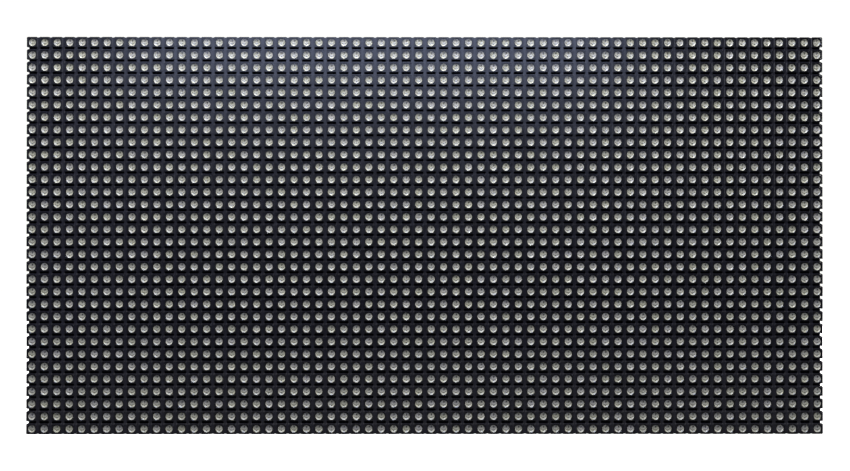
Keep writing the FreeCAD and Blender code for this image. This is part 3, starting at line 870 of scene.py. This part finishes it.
backFinishes = {             # dark and light colour, grain in mm, least and most roughness, bump in mm
    "glassFilledPlastic": ("#121214", "#1a1a1d", 0.25, 0.5, 0.56, 0.03),     # moulded: fine matte texture
    "blackNylon": ("#0c0c0d", "#161617", 0.15, 0.35, 0.5, 0.01),             # moulded: satin
    "naturalNylon": ("#cfc8b4", "#e2dccb", 0.3, 0.32, 0.45, 0.01),           # moulded: warm off-white, satin
    "chipEpoxy": ("#131315", "#202023", 0.08, 0.55, 0.7, 0.01),              # moulded: dull, sandy
    "firedCeramic": ("#83664a", "#9c7d5c", 0.1, 0.4, 0.55, 0.005),           # fired: tan and dry
    "blackGlaze": ("#0c0c0e", "#161618", 0.2, 0.18, 0.28, 0.003),            # fired: glossy
    "whiteAlumina": ("#d0cfc8", "#e4e3dd", 0.08, 0.5, 0.65, 0.004),          # fired: white and dry
    "whiteInk": ("#b9bab6", "#d9dad6", 0.12, 0.5, 0.7, 0.006),               # screen printed: slightly uneven
    "tinPlatedCopper": ("#a9a9a6", "#c9c9c4", 0.1, 0.22, 0.38, 0.004),       # plated: soft grey shine
    "solderAlloy": ("#a3a4a4", "#c6c7c8", 0.2, 0.16, 0.32, 0.01),            # melted: bright and wavy
    "turnedBrass": ("#b08a44", "#cfaa62", 0.06, 0.2, 0.34, 0.003),           # turned: yellow shine
    "goldFlashedBrass": ("#c39b4c", "#dfbb6c", 0.1, 0.18, 0.28, 0.003),      # plated: deep yellow shine
    "zincPlatedSteel": ("#9c9ea2", "#b9bbbd", 0.12, 0.24, 0.4, 0.005),       # plated: cool grey shine
}
bareMetals = ("tinPlatedCopper", "solderAlloy", "turnedBrass", "goldFlashedBrass", "zincPlatedSteel")

boardFinish = {
    "maskColours": ("#0b100e", "#1b2622"),     # over bare laminate and over a track
    "viaColour": "#8c8a7c",
    "laminate": ("#39331f", "#665d3d"),
    "trackPitch": 0.0007,                      # metres
    "trackWidth": (0.00028, 0.00034),          # metres, at the crest and at the foot
    "routedShare": 0.35,
}

canFinish = {
    "metal": ("#c4c6c8", "#dfe0e0"),
    "inkColour": "#121214",
    "inkUpTo": 0.22,                           # v below which the top is printed
    "scoreHalf": (0.012, 0.02),
    "scoreReach": 0.27,
}


def grainedFinish(name):
    # Colour and roughness that drift between two values over a noise, and a fine grain as bump
    dark, light, grainSize, smoothest, roughest, bumpHeight = backFinishes[name]
    material, add = newMaterial(name)
    where = add("TexCoord").outputs["Object"]
    cloud = add("TexNoise", {"Vector": where, "Scale": 200.0, "Detail": 3.0})
    grain = add("TexNoise", {"Vector": where, "Scale": 1000.0 / grainSize, "Detail": 2.0})
    colour = add("Mix", {"Factor": cloud, 6: dark, 7: light}, data_type="RGBA")
    rough = add("MapRange", {0: cloud, 1: 0.3, 2: 0.7, 3: smoothest, 4: roughest})
    bump = add("Bump", {"Height": grain, "Strength": 0.6, "Distance": bumpHeight * millimetre})
    return closeMaterial(material, {"Base Color": colour, "Roughness": rough, "Normal": bump,
                                    "Metallic": float(name in bareMetals)})


def blackSolderMask():
    # Glass-epoxy board under black solder mask: tracks show as raised lines, vias as tinned rings,
    # and the sawn edges show the straw colour of the laminate
    form = boardFinish
    material, add = newMaterial("blackSolderMask")
    where = add("TexCoord").outputs["Object"]
    axes = add("SeparateXYZ", {0: where}).outputs
    # Square fields, each routed upright, routed level or left bare
    fields = add("TexVoronoi", {"Vector": where, "Scale": 130.0}, distance="CHEBYCHEV")
    choice = add("SeparateColor", {0: fields.outputs["Color"]}).outputs
    upright = add("Math", {0: choice[0], 1: 0.5}, operation="GREATER_THAN")
    routed = add("Math", {0: choice[1], 1: form["routedShare"]}, operation="GREATER_THAN")
    across = add("Mix", {"Factor": upright, 2: axes[2], 3: axes[0]}, data_type="FLOAT")
    beat = add("Math", {0: across, 1: form["trackPitch"]}, operation="MODULO")
    place = add("Math", {0: beat}, operation="ABSOLUTE")
    inner, outer = form["trackWidth"]
    line = add("MapRange", {0: place, 1: inner, 2: outer, 3: 1.0, 4: 0.0})
    track = add("Math", {0: line, 1: routed}, operation="MULTIPLY")
    spots = add("TexVoronoi", {"Vector": where, "Scale": 300.0, "Randomness": 0.9})
    reach = spots.outputs["Distance"]
    disc = add("MapRange", {0: reach, 1: 0.085, 2: 0.1, 3: 1.0, 4: 0.0})
    hole = add("Math", {0: reach, 1: 0.04}, operation="GREATER_THAN")
    via = add("Math", {0: disc, 1: hole}, operation="MULTIPLY")
    low, high = form["maskColours"]
    masked = add("Mix", {"Factor": track, 6: low, 7: high}, data_type="RGBA")
    ringed = add("Mix", {"Factor": via, 6: masked, 7: form["viaColour"]}, data_type="RGBA")
    # The sawn edge is where the surface doesn't face along y
    normal = add("NewGeometry").outputs["Normal"]
    depthwise = add("SeparateXYZ", {0: normal}).outputs[1]
    facing = add("Math", {0: depthwise}, operation="ABSOLUTE")
    edge = add("Math", {0: facing, 1: 0.5}, operation="LESS_THAN")
    fibre = add("TexNoise", {"Vector": where, "Scale": 2500.0, "Detail": 2.0})
    dark, light = form["laminate"]
    straw = add("Mix", {"Factor": fibre, 6: dark, 7: light}, data_type="RGBA")
    colour = add("Mix", {"Factor": edge, 6: ringed, 7: straw}, data_type="RGBA")
    rough = add("MapRange", {0: edge, 3: 0.34, 4: 0.8})
    raised = add("Math", {0: track, 1: via}, operation="MAXIMUM")
    bump = add("Bump", {"Height": raised, "Strength": 0.5, "Distance": 0.00004})
    return closeMaterial(material, {"Base Color": colour, "Roughness": rough, "Normal": bump})


def drawnAluminium():
    # Bright drawn can with a black printed half-moon for the negative side and a scored cross on top
    form = canFinish
    material, add = newMaterial("drawnAluminium")
    axes = add("SeparateXYZ", {0: add("UVMap", uv_map="UVMap")}).outputs
    where = add("TexCoord").outputs["Object"]
    depth = add("SeparateXYZ", {0: where}).outputs[1]
    topDepth = (frontY + boardBack + canForm["low"] + canForm["height"] - 0.3) * millimetre
    upper = add("Math", {0: depth, 1: topDepth}, operation="GREATER_THAN")
    moon = add("Math", {0: axes[1], 1: form["inkUpTo"]}, operation="LESS_THAN")
    ink = add("Math", {0: moon, 1: upper}, operation="MULTIPLY")
    # The cross is where the lesser distance from the middle lines is small and the greater within its reach
    offX, offZ = (add("Math", {0: axes[k], 1: 0.5}, operation="SUBTRACT") for k in (0, 1))
    nearX, nearZ = (add("Math", {0: off}, operation="ABSOLUTE") for off in (offX, offZ))
    least = add("Math", {0: nearX, 1: nearZ}, operation="MINIMUM")
    most = add("Math", {0: nearX, 1: nearZ}, operation="MAXIMUM")
    inner, outer = form["scoreHalf"]
    line = add("MapRange", {0: least, 1: inner, 2: outer, 3: 1.0, 4: 0.0})
    within = add("Math", {0: most, 1: form["scoreReach"]}, operation="LESS_THAN")
    scored = add("Math", {0: line, 1: within}, operation="MULTIPLY")
    score = add("Math", {0: scored, 1: upper}, operation="MULTIPLY")
    drawn = add("TexNoise", {"Vector": where, "Scale": 2600.0, "Detail": 2.0})
    dark, light = form["metal"]
    metal = add("Mix", {"Factor": drawn, 6: dark, 7: light}, data_type="RGBA")
    colour = add("Mix", {"Factor": ink, 6: metal, 7: form["inkColour"]}, data_type="RGBA")
    bare = add("Math", {0: 1.0, 1: ink}, operation="SUBTRACT")
    dents = add("Math", {0: score, 1: -1.0, 2: drawn}, operation="MULTIPLY_ADD")
    bump = add("Bump", {"Height": dents, "Strength": 0.4, "Distance": 0.00006})
    return closeMaterial(material, {"Base Color": colour, "Metallic": bare, "Roughness": 0.3, "Normal": bump})


softened = {                 # CAD node, slot, finish and width of the rounded edges
    "rearCase": ("rear_case", "case_plastic", "glassFilledPlastic", 0.25),
    "caseScrews": ("case_screws", "screw_steel", "zincPlatedSteel", 0.12),
    "dataInShroud": ("data_in_shroud", "header_plastic", "blackNylon", 0.15),
    "dataOutShroud": ("data_out_shroud", "header_plastic", "blackNylon", 0.15),
    "dataInPins": ("data_in_pins", "pin_gilt", "goldFlashedBrass", 0.1),
    "dataOutPins": ("data_out_pins", "pin_gilt", "goldFlashedBrass", 0.1),
    "powerHeaderBody": ("power_header_body", "power_plastic", "naturalNylon", 0.18),
    "powerHeaderPins": ("power_header_pins", "pin_tinned", "tinPlatedCopper", 0.14),
    "capacitorBases": ("capacitor_bases", "capacitor_base_plastic", "blackNylon", 0.15),
}


def buildBack():
    made = {name: grainedFinish(name) for name in backFinishes}
    for name, (node, slot, finish, width) in softened.items():
        softenedCopy(name, node, made[finish], width)
    tin = made["tinPlatedCopper"]
    for node, material in (("circuit_board", blackSolderMask()), ("board_spacers", tin)):
        cadNodes[node].data.materials.clear()
        cadNodes[node].data.materials.append(material)
    buildChips(made["chipEpoxy"], tin)
    buildSmallParts(made["firedCeramic"], made["blackGlaze"], made["whiteAlumina"], tin)
    buildCans(drawnAluminium())
    buildInserts(made["turnedBrass"])
    buildSolder(made["solderAlloy"])
    buildInk(made["whiteInk"])


# Setting: pale floor, white surroundings, soft lights and the photograph's camera

settingForm = {
    "imageWidth": 850,
    "ledPlaneWidthPixels": 797.4,
    "ledPlaneWidth": 192.0,
    "ledPlaneDepth": 0.4,
    "cameraDistance": 650.0,
    "cameraPitch": -0.73,
    "cameraYaw": -0.39,
    "offsetRightPixels": -0.08,
    "offsetDownPixels": -0.02,
    "sensorWidth": 36.0,
    "ambient": 0.1,          # how brightly the world lights the object, and how brightly it shows
    "shown": 1.1,
}

lamps = {                    # place and size in metres, watts and colour
    "sheenLamp": ((-0.02, -0.75, 0.268), (0.26, 0.26), 0.94, "#c6d4ff"),
    "leftHaze": ((-0.33, -0.75, 0.2), (0.4, 0.6), 0.14, "#c6c6ff"),
    "rightHaze": ((0.42, -0.75, 0.2), (0.4, 0.6), 0.12, "#d0d0ff"),
    "crescentLamp": ((0.0, -0.75, 0.45), (0.24, 0.16), 0.75, "#fffdf6"),
    "nearLamp": ((-0.02, -0.2, 0.3), (0.16, 0.08), 2.15, "#fffef4"),
    "leftSoft": ((-0.9, -0.25, 0.4), (0.7, 0.7), 4.0, "#ffffff"),
    "rightSoft": ((0.9, -0.25, 0.4), (0.7, 0.7), 3.0, "#ffffff"),
    "backSoft": ((0.5, 1.0, 0.8), (0.8, 0.5), 18.0, "#ffffff"),
    "backFill": ((0.3, 1.2, 0.3), (0.6, 0.5), 8.0, "#ffffff"),
}


def aimed(name, data, place, target):
    thing = bpy.data.objects.new(name, data)
    thing.location = place
    thing.rotation_euler = (target - thing.location).to_track_quat("-Z", "Y").to_euler()
    bpy.context.scene.collection.objects.link(thing)
    return thing


def buildCamera():
    # The camera looks at the middle of the LED plane; the lens gives the pixels that the plane spans
    form = settingForm
    target = Vector((0, frontY + form["ledPlaneDepth"], middleZ)) * millimetre
    pitchAngle, yaw = math.radians(form["cameraPitch"]), math.radians(form["cameraYaw"])
    away = Vector((math.sin(yaw), -math.cos(yaw) * math.cos(pitchAngle), math.sin(pitchAngle)))
    data = bpy.data.cameras.new("camera")
    data.sensor_width, data.sensor_fit = form["sensorWidth"], "HORIZONTAL"
    data.lens = (form["ledPlaneWidthPixels"] / form["imageWidth"] * form["sensorWidth"]
                 * form["cameraDistance"] / form["ledPlaneWidth"])
    data.clip_start, data.clip_end = 0.01, 20
    data.shift_x = -form["offsetRightPixels"] / form["imageWidth"]
    data.shift_y = form["offsetDownPixels"] / form["imageWidth"]
    place = target + away * form["cameraDistance"] * millimetre
    bpy.context.scene.camera = aimed("camera", data, place, target)


def buildLights():
    target = Vector((0, 0, middleZ * millimetre))
    for name, (place, size, watts, colour) in lamps.items():
        data = bpy.data.lights.new(name, "AREA")
        data.shape, (data.size, data.size_y) = "RECTANGLE", size
        data.energy, data.color = watts, hexColour(colour)[:3]
        aimed(name, data, place, target)


def buildSurroundings():
    # White world that lights the object less than it shows, and a floor that fades to pure white
    scene = bpy.context.scene
    scene.view_settings.view_transform = "Standard"
    scene.world = bpy.data.worlds.new("studio")
    scene.world.use_nodes = True
    scene.world.node_tree.nodes.clear()
    add = nodeAdder(scene.world.node_tree)
    seen = add("LightPath").outputs["Is Camera Ray"]
    strength = add("MapRange", {0: seen, 3: settingForm["ambient"], 4: settingForm["shown"]})
    background = add("Background", {"Color": "#fbfbf7", "Strength": strength})
    add("OutputWorld", {"Surface": background})
    bpy.ops.mesh.primitive_plane_add(size=8, location=(0, 0, 0))
    floor = bpy.context.object
    floor.name = "floor"
    material, add = newMaterial("palePaper")
    where = add("TexCoord").outputs["Object"]
    reach = add("VectorMath", {0: where}, operation="LENGTH").outputs["Value"]
    glow = add("MapRange", {0: reach, 1: 0.3, 2: 1.5, 3: 0.55, 4: 1.05})
    pale = add("BsdfPrincipled", {
        "Base Color": "#f4f4f4", "Roughness": 1.0, "Specular IOR Level": 0.0,
        "Emission Color": "#ffffff", "Emission Strength": glow})
    # The object's own light comes from the lamps: for it the paper is dim, and for the picture it is pale
    dim = add("BsdfDiffuse", {"Color": "#5a5a60"})
    seen = add("LightPath").outputs["Is Camera Ray"]
    paper = add("MixShader", {0: seen, 1: dim, 2: pale})
    add("OutputMaterial", {"Surface": paper})
    floor.data.materials.append(material)


buildCamera()
buildMask(mouldedBlackPolycarbonate(), paintedShadeGrooveFloor())
print("mask built")
buildLeds([blackMouldingCompound(), whiteReflectorResin(), silverLeadFrame(), semiconductorDie()],
          diffusingEpoxy())
print("LEDs built")
buildBack()
print("back built")
buildLights()
buildSurroundings()
print("setting built")
